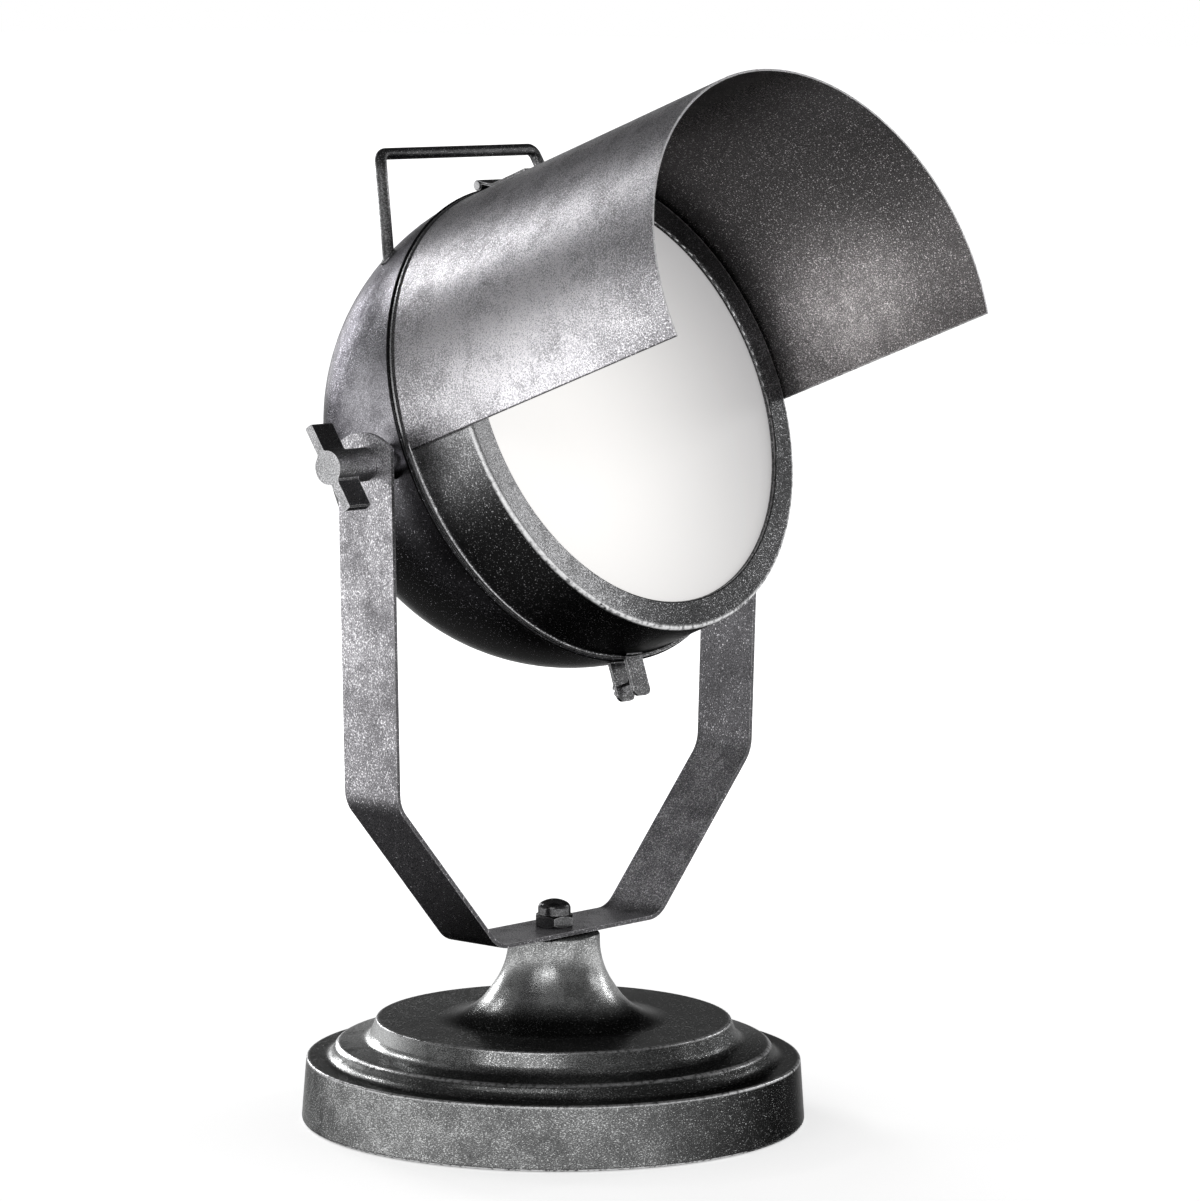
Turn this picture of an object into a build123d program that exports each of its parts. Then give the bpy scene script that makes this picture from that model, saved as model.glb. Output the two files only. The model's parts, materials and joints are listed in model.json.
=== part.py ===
"""Tabletop searchlight lamp: spun foot, bent steel yoke, round head with a hinged lens ring and a visor.

Millimetres, +Z up. The origin is the centre of the underside, on the table. The swivel axis is Z,
the tilt axis lies along X at the pivot height, and the lens faces -Y and upwards.
"""

import os
from math import acos, asin, cos, degrees, radians, sin, sqrt, tan

from build123d import *

os.makedirs("parts", exist_ok=True)

# ---------------------------------------------------------------- foot
foot_radius = 116.6
foot_sheet = 1.2
foot_floor_gap = 0.2
foot_hem_width = 4.0
foot_hem_round = 1.8
skirt_height = 29.6
skirt_batter = 2.2
skirt_shelf_width = 11.0
step_batter = 3.0
step_rise = 6.6
step_shelf_width = 14.5
step_shelf_rise = 1.4
plate_batter = 3.8
plate_rise = 9.6
rim_round = 1.0
cove_round = 5.5
shoulder_round = 3.4
neck_flare_radius = 38.9
neck_flare_rise = 25.6
neck_foot_round = 28.0
neck_waist_round = 36.0
neck_top_radius = 21.2
neck_rise = 40.4
neck_top_round = 1.6

ballast_thickness = 8.0
ballast_edge_gap = 1.0
cover_thickness = 1.2
cover_edge_gap = 0.1
felt_thickness = 2.0
felt_inset = 3.0

# ---------------------------------------------------------------- swivel stud, M10
stud_radius = 5.0
stud_tail = 2.0
stud_reach_in_cap = 8.0
swivel_gap = 0.05
thread_gap = 0.05
stud_nut_flats = 17.0
stud_nut_height = 8.0
stud_washer_radius = 12.0
stud_washer_thickness = 2.0
swivel_washer_radius = 14.0
swivel_washer_thickness = 0.6
cap_nut_flats = 17.0
cap_nut_turn = -19.0
cap_nut_hex_height = 5.5
cap_nut_corner_drop = 1.1
cap_nut_face_radius = 8.3
cap_nut_dome_radius = 7.55
cap_nut_side_rise = 2.7
cap_nut_shoulder_round = 3.2
cap_nut_crown_radius = 11.9
stud_end_chamfer = 0.8

# ---------------------------------------------------------------- yoke strap
strap_width = 32.0
strap_thickness = 2.0
strap_bend = 16.0
strap_floor_half = 56.3
yoke_knee_height = 160.3
pivot_height = 312.5
arm_gap = 13.9
arm_splay = 4.8
arm_reach = 14.0
arm_end_radius = 24.0

# ---------------------------------------------------------------- head shell
tilt_at_rest = 21.0
axis_rise = 8.1
seam_forward = 11.6
shell_radius = 112.5
shell_sheet = 1.0
bead_radius = 1.0
shell_flat_radius = 16.0

# ---------------------------------------------------------------- pivots, M8
pivot_screw_radius = 4.0
pivot_gap = 0.1
spacer_radius = 8.0
pivot_washer_radius = 9.0
pivot_washer_thickness = 1.0
arm_play = 0.07
shell_pivot_gap = 0.5
pivot_nut_radius = 9.0
pivot_nut_depth = 9.0
pivot_screw_tail = 3.0
wing_hub_radius = 7.5
wing_hub_length = 23.0
wing_depth = 13.2
wing_reach = 21.0
wing_thickness = 4.4
wing_angle = 34.0
wing_edge_chamfer = 0.7

# ---------------------------------------------------------------- handle
handle_rod_radius = 2.7
handle_back = 22.0
handle_rise = 27.6
handle_half = 52.2
handle_foot_half = 65.4
handle_bend = 4.5

# ---------------------------------------------------------------- lens ring
ring_sheet = 1.0
ring_lip_overhang = 0.3
ring_lip_width = 1.9
ring_narrowing = 1.5
ring_depth = 37.9
ring_lip_round = 1.2
bezel_round = 1.8
bezel_width = 13.1
bezel_return = 2.2
bezel_return_round = 1.1
pane_overlap = 5.2
pane_thickness = 4.0
gasket_thickness = 1.6
gasket_width = 4.0
gasket_inset = 0.4
clip_count = 4
clip_first_angle = 45.0
clip_width = 12.0
clip_sheet = 0.8
clip_foot_back = 12.0
clip_foot_length = 9.0
clip_reach = 6.5
clip_bend = 2.0
clip_rivet_radius = 1.5
clip_rivet_head_radius = 2.8
clip_rivet_head_height = 1.0
clip_rivet_head_taper = 30.0

# ---------------------------------------------------------------- visor
visor_sheet = 1.0
visor_gap = 0.2
visor_back = 2.4
visor_front = 163.0
visor_narrowing = 1.0
visor_front_rise = 9.0
visor_drop = 7.2

# ---------------------------------------------------------------- hinge
hinge_barrel_radius = 2.5
hinge_pin_radius = 1.25
hinge_pin_gap = 0.05
hinge_pin_head_radius = 1.9
hinge_pin_head_height = 0.8
hinge_back = 3.6
hinge_shell_gap = 0.4
hinge_half_width = 14.0
hinge_knuckle_half = 4.7
hinge_knuckle_gap = 0.3
hinge_leaf_sheet = 1.2
hinge_leaf_step = 8.0
hinge_leaf_front = 26.0
hinge_leaf_bend = 3.0
hinge_foot_width = 3.0
hinge_swing_gap = 0.5
hinge_rivet_spacing = 16.0
hinge_rivet_forward = 18.0
hinge_rivet_radius = 1.5
hinge_rivet_length = 5.0
hinge_rivet_head_radius = 2.8
hinge_rivet_head_height = 1.1
hinge_rivet_head_taper = 35.0

# ---------------------------------------------------------------- latch
latch_turn = -2.0
latch_tab_width = 11.2
latch_tab_drop = 17.8
latch_tab_round = 3.0
latch_tab_sheet = 1.5
latch_back_distance = 8.5
latch_screw_drop = 12.0
latch_screw_radius = 2.0
latch_screw_gap = 0.25
latch_head_radius = 3.8
latch_head_height = 2.6
latch_slot_width = 1.0
latch_slot_depth = 1.2
latch_nut_flats = 7.0
latch_nut_height = 3.2
latch_tip_gap = 0.3

# ---------------------------------------------------------------- lampholder and bulb
nipple_radius = 5.0
nipple_bore = 3.8
nipple_outside = 11.0
nipple_inside = 17.0
nipple_gap = 0.05
inner_washer_radius = 12.0
inner_washer_thickness = 1.5
locknut_flats = 14.0
locknut_height = 3.5
holder_radius = 20.0
holder_back_radius = 13.0
holder_back_length = 14.0
holder_length = 54.0
holder_wall = 3.0
holder_floor = 3.0
sleeve_radius = 14.4
sleeve_wall = 0.8
sleeve_length = 26.0
contact_width = 8.0
contact_sheet = 0.8
contact_height = 6.0
contact_half = 10.0
contact_bend = 1.5
cap_radius = 13.0
cap_length = 24.0
cap_tip_radius = 4.5
cap_tip_height = 2.0
globe_radius = 30.0
globe_neck_radius = 12.4
globe_centre_ahead = 42.0
globe_shoulder = 34.0
globe_neck_round = 20.0
globe_wall = 0.8
grip_radius = 9.5
grip_length = 17.0
grip_bore = 3.5
grip_nose_radius = 6.5
grip_nose_length = 8.0
grip_shoulder_round = 2.0
grip_edge_round = 1.0

# ---------------------------------------------------------------- places worked out from the sizes
forward = Vector(0, -cos(radians(tilt_at_rest)), sin(radians(tilt_at_rest)))
upward = Vector(0, sin(radians(tilt_at_rest)), cos(radians(tilt_at_rest)))
head_centre = Vector(0, 0, pivot_height) + upward * axis_rise + forward * seam_forward
head_axis = Axis(head_centre, forward)
head_plane = Plane(origin=head_centre, x_dir=(1, 0, 0), z_dir=forward)
head_section = Plane(origin=head_centre, x_dir=upward, z_dir=(1, 0, 0))
pivot_plane = Plane(origin=(0, 0, pivot_height), x_dir=(0, 1, 0), z_dir=(1, 0, 0))

skirt_top_radius = foot_radius - skirt_batter
skirt_shelf_radius = skirt_top_radius - skirt_shelf_width
step_radius = skirt_shelf_radius - step_batter
step_height = skirt_height + step_rise
step_shelf_radius = step_radius - step_shelf_width
step_shelf_height = step_height + step_shelf_rise
plate_radius = step_shelf_radius - plate_batter
plate_height = step_shelf_height + plate_rise
neck_flare_height = plate_height + neck_flare_rise
neck_height = plate_height + neck_rise
strap_floor = neck_height + swivel_washer_thickness
strap_top = strap_floor + strap_thickness

yoke_top_half = shell_radius + arm_gap + strap_thickness
yoke_knee_half = yoke_top_half - arm_splay
ring_lip_radius = shell_radius + ring_lip_overhang
ring_back_radius = ring_lip_radius - ring_lip_width
ring_front_radius = ring_back_radius - ring_narrowing
bezel_inner_radius = ring_front_radius - bezel_width
pane_radius = bezel_inner_radius + pane_overlap
sides = (("left", -1), ("right", 1))


def write(piece, name):
    """Labels a finished piece and writes its STEP file."""
    piece.part.label = name
    export_step(piece.part, f"parts/{name}.step")


# ================================================================ foot
with BuildPart() as foot_shell:
    with BuildSketch(Plane.XZ):
        with BuildLine():
            FilletPolyline(
                (foot_radius - foot_hem_width, foot_floor_gap),
                (foot_radius, foot_floor_gap),
                (skirt_top_radius, skirt_height),
                (skirt_shelf_radius, skirt_height),
                (step_radius, step_height),
                (step_shelf_radius, step_shelf_height),
                (plate_radius, plate_height),
                (neck_flare_radius, plate_height),
                (neck_top_radius, neck_flare_height),
                (neck_top_radius, neck_height),
                (stud_radius + thread_gap, neck_height),
                radius=(
                    foot_hem_round,
                    rim_round,
                    cove_round,
                    shoulder_round,
                    cove_round,
                    rim_round,
                    neck_foot_round,
                    neck_waist_round,
                    neck_top_round,
                ),
            )
            offset(amount=foot_sheet, side=Side.LEFT, kind=Kind.INTERSECTION)
        make_face()
    revolve(axis=Axis.Z)
write(foot_shell, "foot_shell")

ballast_top = skirt_height - foot_sheet
ballast_bottom = ballast_top - ballast_thickness
stud_nut_top = ballast_bottom - stud_washer_thickness
stud_bottom = stud_nut_top - stud_nut_height - stud_tail

with BuildPart() as ballast_plate:
    with BuildSketch(Plane.XY.offset(ballast_bottom)):
        Circle(skirt_top_radius - foot_sheet - ballast_edge_gap)
        Circle(stud_radius + thread_gap, mode=Mode.SUBTRACT)
    extrude(amount=ballast_thickness)
write(ballast_plate, "ballast_plate")

with BuildPart() as stud_washer:
    with BuildSketch(Plane.XY.offset(stud_nut_top)):
        Circle(stud_washer_radius)
        Circle(stud_radius + thread_gap, mode=Mode.SUBTRACT)
    extrude(amount=stud_washer_thickness)
write(stud_washer, "stud_washer")

with BuildPart() as stud_nut:
    with BuildSketch(Plane.XY.offset(stud_nut_top - stud_nut_height)):
        RegularPolygon(stud_nut_flats / 2, 6, major_radius=False)
        Circle(stud_radius + thread_gap, mode=Mode.SUBTRACT)
    extrude(amount=stud_nut_height)
write(stud_nut, "stud_nut")

with BuildPart() as centre_stud:
    with BuildSketch(Plane.XY.offset(stud_bottom)):
        Circle(stud_radius)
    extrude(amount=strap_top + stud_reach_in_cap - stud_bottom)
    chamfer(centre_stud.edges().filter_by(GeomType.CIRCLE), length=stud_end_chamfer)
write(centre_stud, "centre_stud")

with BuildPart() as bottom_cover:
    with BuildSketch(Plane.XY.offset(felt_thickness)):
        Circle(foot_radius - foot_hem_width - cover_edge_gap)
    extrude(amount=cover_thickness)
write(bottom_cover, "bottom_cover")

with BuildPart() as felt_pad:
    with BuildSketch(Plane.XY):
        Circle(foot_radius - foot_hem_width - felt_inset)
    extrude(amount=felt_thickness)
write(felt_pad, "felt_pad")

with BuildPart() as swivel_washer:
    with BuildSketch(Plane.XY.offset(neck_height)):
        Circle(swivel_washer_radius)
        Circle(stud_radius + swivel_gap, mode=Mode.SUBTRACT)
    extrude(amount=swivel_washer_thickness)
write(swivel_washer, "swivel_washer")

cap_corner_radius = cap_nut_flats / sqrt(3)
cap_hex_top = strap_top + cap_nut_hex_height
cap_side_top = cap_hex_top + cap_nut_side_rise
cap_shoulder_radius = cap_nut_dome_radius - cap_nut_shoulder_round
cap_crown_reach = cap_nut_crown_radius - cap_nut_shoulder_round
cap_shoulder_turn = degrees(acos(cap_shoulder_radius / cap_crown_reach))
cap_crown_sink = sqrt(cap_crown_reach**2 - cap_shoulder_radius**2)

with BuildPart() as cap_nut:
    with BuildSketch(Plane.XY.offset(strap_top)):
        RegularPolygon(cap_nut_flats / 2, 6, major_radius=False, rotation=cap_nut_turn)
    extrude(amount=cap_nut_hex_height)
    with BuildSketch(Plane.XZ):
        with BuildLine():
            Polyline(
                (0, strap_top),
                (cap_nut_face_radius, strap_top),
                (cap_corner_radius, strap_top + cap_nut_corner_drop),
                (cap_corner_radius, cap_hex_top - cap_nut_corner_drop),
                (cap_nut_face_radius, cap_hex_top),
                (0, cap_hex_top),
                close=True,
            )
        make_face()
    revolve(axis=Axis.Z, mode=Mode.INTERSECT)
    with BuildSketch(Plane.XZ):
        with BuildLine():
            shoulder = CenterArc(
                (cap_shoulder_radius, cap_side_top),
                cap_nut_shoulder_round,
                start_angle=0,
                arc_size=cap_shoulder_turn,
            )
            crown = CenterArc(
                (0, cap_side_top - cap_crown_sink),
                cap_nut_crown_radius,
                start_angle=cap_shoulder_turn,
                arc_size=90 - cap_shoulder_turn,
            )
            Polyline(crown @ 1, (0, strap_top), (cap_nut_dome_radius, strap_top), shoulder @ 0)
        make_face()
    revolve(axis=Axis.Z)
    with BuildSketch(Plane.XY.offset(strap_top)):
        Circle(stud_radius + thread_gap)
    extrude(amount=stud_reach_in_cap + thread_gap, mode=Mode.SUBTRACT)
write(cap_nut, "cap_nut")

# ================================================================ yoke
arm_lean = (yoke_top_half - yoke_knee_half) / (pivot_height - yoke_knee_height)
arm_tip_half = yoke_top_half + arm_lean * arm_reach
arm_tip_height = pivot_height + arm_reach
arm_shoulder_height = arm_tip_height - arm_end_radius + sqrt(arm_end_radius**2 - (strap_width / 2) ** 2)

with BuildPart() as yoke:
    with BuildSketch(Plane.XZ):
        with BuildLine():
            FilletPolyline(
                (-arm_tip_half, arm_tip_height),
                (-yoke_knee_half, yoke_knee_height),
                (-strap_floor_half, strap_floor),
                (strap_floor_half, strap_floor),
                (yoke_knee_half, yoke_knee_height),
                (arm_tip_half, arm_tip_height),
                radius=strap_bend,
            )
            offset(amount=strap_thickness, side=Side.LEFT)
        make_face()
    extrude(amount=strap_width / 2, both=True)
    with BuildSketch(Plane.YZ):
        with BuildLine():
            edges = Polyline(
                (strap_width / 2, arm_shoulder_height),
                (strap_width / 2, 0),
                (-strap_width / 2, 0),
                (-strap_width / 2, arm_shoulder_height),
            )
            RadiusArc(edges @ 1, edges @ 0, arm_end_radius)
        make_face()
    extrude(amount=arm_tip_half + strap_width, both=True, mode=Mode.INTERSECT)
    with Locations((0, 0, strap_top)):
        Hole(stud_radius + swivel_gap, depth=2 * strap_thickness)
    with BuildSketch(pivot_plane):
        Circle(pivot_screw_radius + pivot_gap)
    extrude(amount=arm_tip_half, both=True, mode=Mode.SUBTRACT)
write(yoke, "yoke")

# ================================================================ head shell
shell_flat = sqrt(shell_radius**2 - shell_flat_radius**2)
shell_inner_radius = shell_radius - shell_sheet

with BuildPart() as rear_shell:
    with BuildSketch(head_section):
        with BuildLine():
            flat = Line((nipple_radius + nipple_gap, -shell_flat), (shell_flat_radius, -shell_flat))
            RadiusArc(flat @ 1, (shell_radius, 0), -shell_radius)
            offset(amount=shell_sheet, side=Side.LEFT)
        make_face()
        with Locations((shell_radius - shell_sheet + bead_radius, -bead_radius)):
            Circle(bead_radius)
    revolve(axis=head_axis)
    with BuildSketch(pivot_plane):
        Circle(pivot_screw_radius + shell_pivot_gap)
    extrude(amount=shell_radius, both=True, mode=Mode.SUBTRACT)
write(rear_shell, "rear_shell")

# ================================================================ pivots
washer_outer = yoke_top_half - strap_thickness - arm_play - abs(arm_lean) * pivot_washer_radius
spacer_outer = washer_outer - pivot_washer_thickness
hub_inner = yoke_top_half + arm_play + abs(arm_lean) * wing_hub_radius
hub_outer = hub_inner + wing_hub_length
pivot_nut_inner = shell_inner_radius - pivot_nut_depth

for side, sign in sides:
    with BuildPart() as pivot_spacer:
        with BuildSketch(pivot_plane):
            Circle(spacer_radius)
            Circle(pivot_screw_radius + pivot_gap, mode=Mode.SUBTRACT)
        extrude(amount=sign * spacer_outer)
        with Locations(head_plane):
            Sphere(shell_radius, mode=Mode.SUBTRACT)
    write(pivot_spacer, f"pivot_spacer_{side}")

    with BuildPart() as pivot_washer:
        with BuildSketch(pivot_plane.offset(sign * spacer_outer)):
            Circle(pivot_washer_radius)
            Circle(pivot_screw_radius + pivot_gap, mode=Mode.SUBTRACT)
        extrude(amount=sign * pivot_washer_thickness)
    write(pivot_washer, f"pivot_washer_{side}")

    with BuildPart() as pivot_nut:
        with BuildSketch(pivot_plane.offset(sign * pivot_nut_inner)):
            Circle(pivot_nut_radius)
            Circle(pivot_screw_radius + thread_gap, mode=Mode.SUBTRACT)
        extrude(amount=sign * shell_radius)
        with Locations(head_plane):
            Sphere(shell_inner_radius, mode=Mode.INTERSECT)
    write(pivot_nut, f"pivot_nut_{side}")

    with BuildPart() as wing_screw:
        with BuildSketch(pivot_plane.offset(sign * hub_inner)):
            Circle(wing_hub_radius)
        extrude(amount=sign * wing_hub_length)
        wing_plane = Plane(
            origin=(sign * hub_outer, 0, pivot_height),
            x_dir=(0, cos(radians(wing_angle)), -sin(radians(wing_angle))),
            z_dir=(1, 0, 0),
        )
        with BuildSketch(wing_plane):
            Rectangle(wing_thickness, 2 * wing_reach)
        extrude(amount=-sign * wing_depth)
        chamfer(wing_screw.edges().filter_by(Axis.X), length=wing_edge_chamfer)
        with BuildSketch(pivot_plane.offset(sign * (pivot_nut_inner - pivot_screw_tail))):
            Circle(pivot_screw_radius)
        extrude(amount=sign * (hub_outer - pivot_nut_inner + pivot_screw_tail))
    write(wing_screw, f"wing_screw_{side}")

# ================================================================ handle
handle_section = sqrt(shell_radius**2 - handle_back**2)
handle_top = handle_section + handle_rise
handle_foot_height = sqrt(handle_section**2 - handle_foot_half**2)

with BuildPart() as handle:
    with BuildLine(head_plane.offset(-handle_back)):
        splay = (handle_foot_half - handle_half) / (handle_top - handle_foot_height)
        root = 2 * handle_rod_radius
        rod_line = FilletPolyline(
            (-handle_foot_half - splay * root, handle_foot_height - root),
            (-handle_half, handle_top),
            (handle_half, handle_top),
            (handle_foot_half + splay * root, handle_foot_height - root),
            radius=handle_bend,
        )
    with BuildSketch(Plane(origin=rod_line @ 0, z_dir=rod_line % 0)):
        Circle(handle_rod_radius)
    sweep()
    with Locations(head_plane):
        Sphere(shell_radius, mode=Mode.SUBTRACT)
write(handle, "handle")

# ================================================================ lens ring
visor_back_radius = ring_back_radius + visor_gap + visor_sheet
visor_front_half = visor_back_radius - visor_narrowing
leaf_rest = visor_back_radius
leaf_top = Plane(
    origin=head_centre + upward * (leaf_rest + hinge_leaf_sheet) + forward * hinge_rivet_forward,
    x_dir=(1, 0, 0),
    z_dir=upward,
)


def hinge_rivet_shafts():
    """The shafts of the rivets that hold the hinge leaf, the visor and the ring together."""
    with BuildPart(mode=Mode.PRIVATE) as shafts:
        with BuildSketch(leaf_top):
            with GridLocations(hinge_rivet_spacing, 0, 2, 1):
                Circle(hinge_rivet_radius)
        extrude(amount=-hinge_rivet_length)
    return shafts.part


pane_front = ring_depth - ring_sheet - gasket_thickness
pane_back = pane_front - pane_thickness

with BuildPart() as lens_ring:
    with BuildSketch(head_section):
        with BuildLine():
            FilletPolyline(
                (ring_lip_radius, ring_sheet),
                (ring_back_radius, ring_sheet),
                (ring_front_radius, ring_depth),
                (bezel_inner_radius, ring_depth),
                (bezel_inner_radius, ring_depth - bezel_return),
                radius=(ring_lip_round, bezel_round, bezel_return_round),
            )
            offset(amount=ring_sheet, side=Side.LEFT)
        make_face()
    revolve(axis=head_axis)
    add(hinge_rivet_shafts(), mode=Mode.SUBTRACT)
write(lens_ring, "lens_ring")

with BuildPart() as lens_pane:
    with BuildSketch(head_plane.offset(pane_back)):
        Circle(pane_radius)
    extrude(amount=pane_thickness)
write(lens_pane, "lens_pane")

with BuildPart() as lens_gasket:
    with BuildSketch(head_plane.offset(pane_front)):
        Circle(pane_radius + gasket_inset)
        Circle(pane_radius + gasket_inset - gasket_width, mode=Mode.SUBTRACT)
    extrude(amount=gasket_thickness)
write(lens_gasket, "lens_gasket")

# The clip is drawn once in the ring's own section, then set round the ring.
ring_taper = (ring_back_radius - ring_front_radius) / (ring_depth - ring_sheet)
ring_inner_wall = ring_back_radius - ring_sheet - ring_taper * (pane_back - ring_sheet)
clip_wall = sqrt(ring_inner_wall**2 - (clip_width / 2) ** 2) - clip_sheet
clip_rivet_forward = pane_back - clip_foot_back + clip_foot_length / 2

with BuildPart() as one_clip:
    with BuildSketch(Plane.XZ):
        with BuildLine():
            FilletPolyline(
                (clip_wall, pane_back - clip_foot_back),
                (clip_wall, pane_back - clip_sheet),
                (pane_radius - clip_reach, pane_back - clip_sheet),
                radius=clip_bend,
            )
            offset(amount=clip_sheet, side=Side.RIGHT)
        make_face()
    extrude(amount=clip_width / 2, both=True)

with BuildPart() as one_clip_rivet:
    rivet_line = Plane(origin=(clip_wall, 0, clip_rivet_forward), x_dir=(0, 0, 1), z_dir=(-1, 0, 0))
    with BuildSketch(rivet_line):
        Circle(clip_rivet_head_radius)
    extrude(amount=clip_rivet_head_height, taper=clip_rivet_head_taper)
    with BuildSketch(rivet_line):
        Circle(clip_rivet_radius)
    extrude(amount=-clip_sheet)

with BuildPart(head_plane) as lens_clips:
    with PolarLocations(0, clip_count, start_angle=clip_first_angle):
        add(one_clip.part)
        add(one_clip_rivet.part)
write(lens_clips, "lens_clips")

# ================================================================ visor
def visor_arch(rise, half_width, crown):
    """One end of the visor: an arch of the sheet's thickness, down to the visor's lower edges."""
    drop_angle = degrees(asin((visor_drop + rise) / crown))
    with BuildSketch(mode=Mode.PRIVATE) as arch:
        with BuildLine():
            rims = [
                EllipticalCenterArc(
                    (0, rise),
                    half_width - inset,
                    crown - inset,
                    start_angle=-drop_angle,
                    arc_size=180 + 2 * drop_angle,
                )
                for inset in (0, visor_sheet)
            ]
            for end in (0, 1):
                Line(rims[0] @ end, rims[1] @ end)
        make_face()
    return arch.sketch


with BuildPart() as visor:
    with BuildSketch(head_plane.offset(visor_back)):
        add(visor_arch(0, visor_back_radius, visor_back_radius))
    with BuildSketch(head_plane.offset(visor_front)):
        add(visor_arch(visor_front_rise, visor_front_half, visor_front_half - visor_front_rise))
    loft(ruled=True)
    add(hinge_rivet_shafts(), mode=Mode.SUBTRACT)
write(visor, "visor")

# ================================================================ hinge
hinge_height = shell_radius + hinge_barrel_radius + hinge_shell_gap
hinge_pin_plane = Plane(
    origin=head_centre + upward * hinge_height - forward * hinge_back,
    x_dir=upward,
    z_dir=(1, 0, 0),
)

with BuildPart() as hinge_knuckle:
    with BuildSketch(hinge_pin_plane):
        Circle(hinge_barrel_radius)
        with Locations((-hinge_barrel_radius, 0)):
            Rectangle(2 * hinge_barrel_radius, hinge_foot_width)
        Circle(hinge_pin_radius + hinge_pin_gap, mode=Mode.SUBTRACT)
    extrude(amount=hinge_knuckle_half, both=True)
    with Locations(head_plane):
        Sphere(shell_radius, mode=Mode.SUBTRACT)
write(hinge_knuckle, "hinge_knuckle")

with BuildPart() as hinge_leaf:
    with BuildSketch(hinge_pin_plane):
        with BuildLine():
            FilletPolyline(
                (hinge_barrel_radius, 0),
                (leaf_rest + hinge_leaf_sheet - hinge_height, hinge_leaf_step),
                (leaf_rest + hinge_leaf_sheet - hinge_height, hinge_leaf_front + hinge_back),
                radius=hinge_leaf_bend,
            )
            offset(amount=hinge_leaf_sheet, side=Side.LEFT)
        make_face()
        Circle(hinge_barrel_radius)
        Circle(hinge_pin_radius + hinge_pin_gap, mode=Mode.SUBTRACT)
    extrude(amount=hinge_half_width, both=True)
    with BuildSketch(hinge_pin_plane):
        Circle(hinge_barrel_radius + hinge_swing_gap)
    extrude(amount=hinge_knuckle_half + hinge_knuckle_gap, both=True, mode=Mode.SUBTRACT)
    add(hinge_rivet_shafts(), mode=Mode.SUBTRACT)
write(hinge_leaf, "hinge_leaf")

with BuildPart() as hinge_pin:
    with BuildSketch(hinge_pin_plane):
        Circle(hinge_pin_radius)
    extrude(amount=hinge_half_width + hinge_pin_head_height, both=True)
    for sign in (-1, 1):
        with BuildSketch(hinge_pin_plane.offset(sign * hinge_half_width)):
            Circle(hinge_pin_head_radius)
        extrude(amount=sign * hinge_pin_head_height)
write(hinge_pin, "hinge_pin")

with BuildPart() as hinge_rivets:
    with BuildSketch(leaf_top):
        with GridLocations(hinge_rivet_spacing, 0, 2, 1):
            Circle(hinge_rivet_head_radius)
    extrude(amount=hinge_rivet_head_height, taper=hinge_rivet_head_taper)
    add(hinge_rivet_shafts())
write(hinge_rivets, "hinge_rivets")

# ================================================================ latch
latch_screw_height = shell_radius + latch_screw_drop
latch_tab_end = shell_radius + latch_tab_drop
latch_plane = Plane(
    origin=head_centre,
    x_dir=Vector(cos(radians(latch_turn)), 0, 0) + upward * sin(radians(latch_turn)),
    z_dir=forward,
)
screw_axis_plane = Plane(
    origin=latch_plane.origin - latch_plane.y_dir * latch_screw_height,
    x_dir=latch_plane.x_dir,
    z_dir=forward,
)
latch_back_face = ring_sheet - latch_back_distance
latch_tab_root = shell_radius - 2 * latch_tab_sheet


def tab_outline():
    """A tab that hangs below the head, square at its root and rounded at its free corners."""
    with BuildSketch(mode=Mode.PRIVATE) as tab:
        with Locations((0, -latch_tab_end)):
            Rectangle(latch_tab_width, latch_tab_end - latch_tab_root, align=(Align.CENTER, Align.MIN))
        fillet(tab.vertices().group_by(Axis.Y)[0], latch_tab_round)
    return tab.sketch


with BuildPart() as latch_tab_back:
    with BuildSketch(latch_plane.offset(latch_back_face)):
        add(tab_outline())
        with Locations((0, -latch_screw_height)):
            Circle(latch_screw_radius + latch_screw_gap, mode=Mode.SUBTRACT)
    extrude(amount=-latch_tab_sheet)
    with Locations(head_plane):
        Sphere(shell_radius, mode=Mode.SUBTRACT)
write(latch_tab_back, "latch_tab_back")

with BuildPart() as latch_tab_front:
    with BuildSketch(latch_plane.offset(ring_sheet)):
        add(tab_outline())
        Circle(ring_back_radius + ring_lip_round, mode=Mode.SUBTRACT)
    extrude(amount=latch_tab_sheet)
write(latch_tab_front, "latch_tab_front")

with BuildPart() as latch_nut:
    with BuildSketch(screw_axis_plane.offset(ring_sheet)):
        RegularPolygon(latch_nut_flats / 2, 6, major_radius=False)
        Circle(latch_screw_radius + latch_screw_gap, mode=Mode.SUBTRACT)
    extrude(amount=-latch_nut_height)
write(latch_nut, "latch_nut")

with BuildPart() as latch_screw:
    head_face = latch_back_face - latch_tab_sheet
    with BuildSketch(screw_axis_plane.offset(head_face)):
        Circle(latch_head_radius)
    extrude(amount=-latch_head_height)
    with BuildSketch(screw_axis_plane.offset(head_face)):
        Circle(latch_screw_radius)
    extrude(amount=ring_sheet - latch_tip_gap - head_face)
    with BuildSketch(screw_axis_plane.offset(head_face - latch_head_height)):
        Rectangle(2 * latch_head_radius, latch_slot_width)
    extrude(amount=latch_slot_depth, mode=Mode.SUBTRACT)
write(latch_screw, "latch_screw")

# ================================================================ lampholder, bulb and cord grip
shell_inner_flat = -shell_flat + shell_sheet
washer_front = shell_inner_flat + inner_washer_thickness
locknut_front = washer_front + locknut_height
holder_back = locknut_front
holder_front = holder_back + holder_length
thread_hole = nipple_radius + nipple_gap

with BuildPart() as nipple:
    with BuildSketch(head_plane.offset(-shell_flat - nipple_outside)):
        Circle(nipple_radius)
        Circle(nipple_bore, mode=Mode.SUBTRACT)
    extrude(amount=nipple_outside + nipple_inside)
write(nipple, "nipple")

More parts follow.
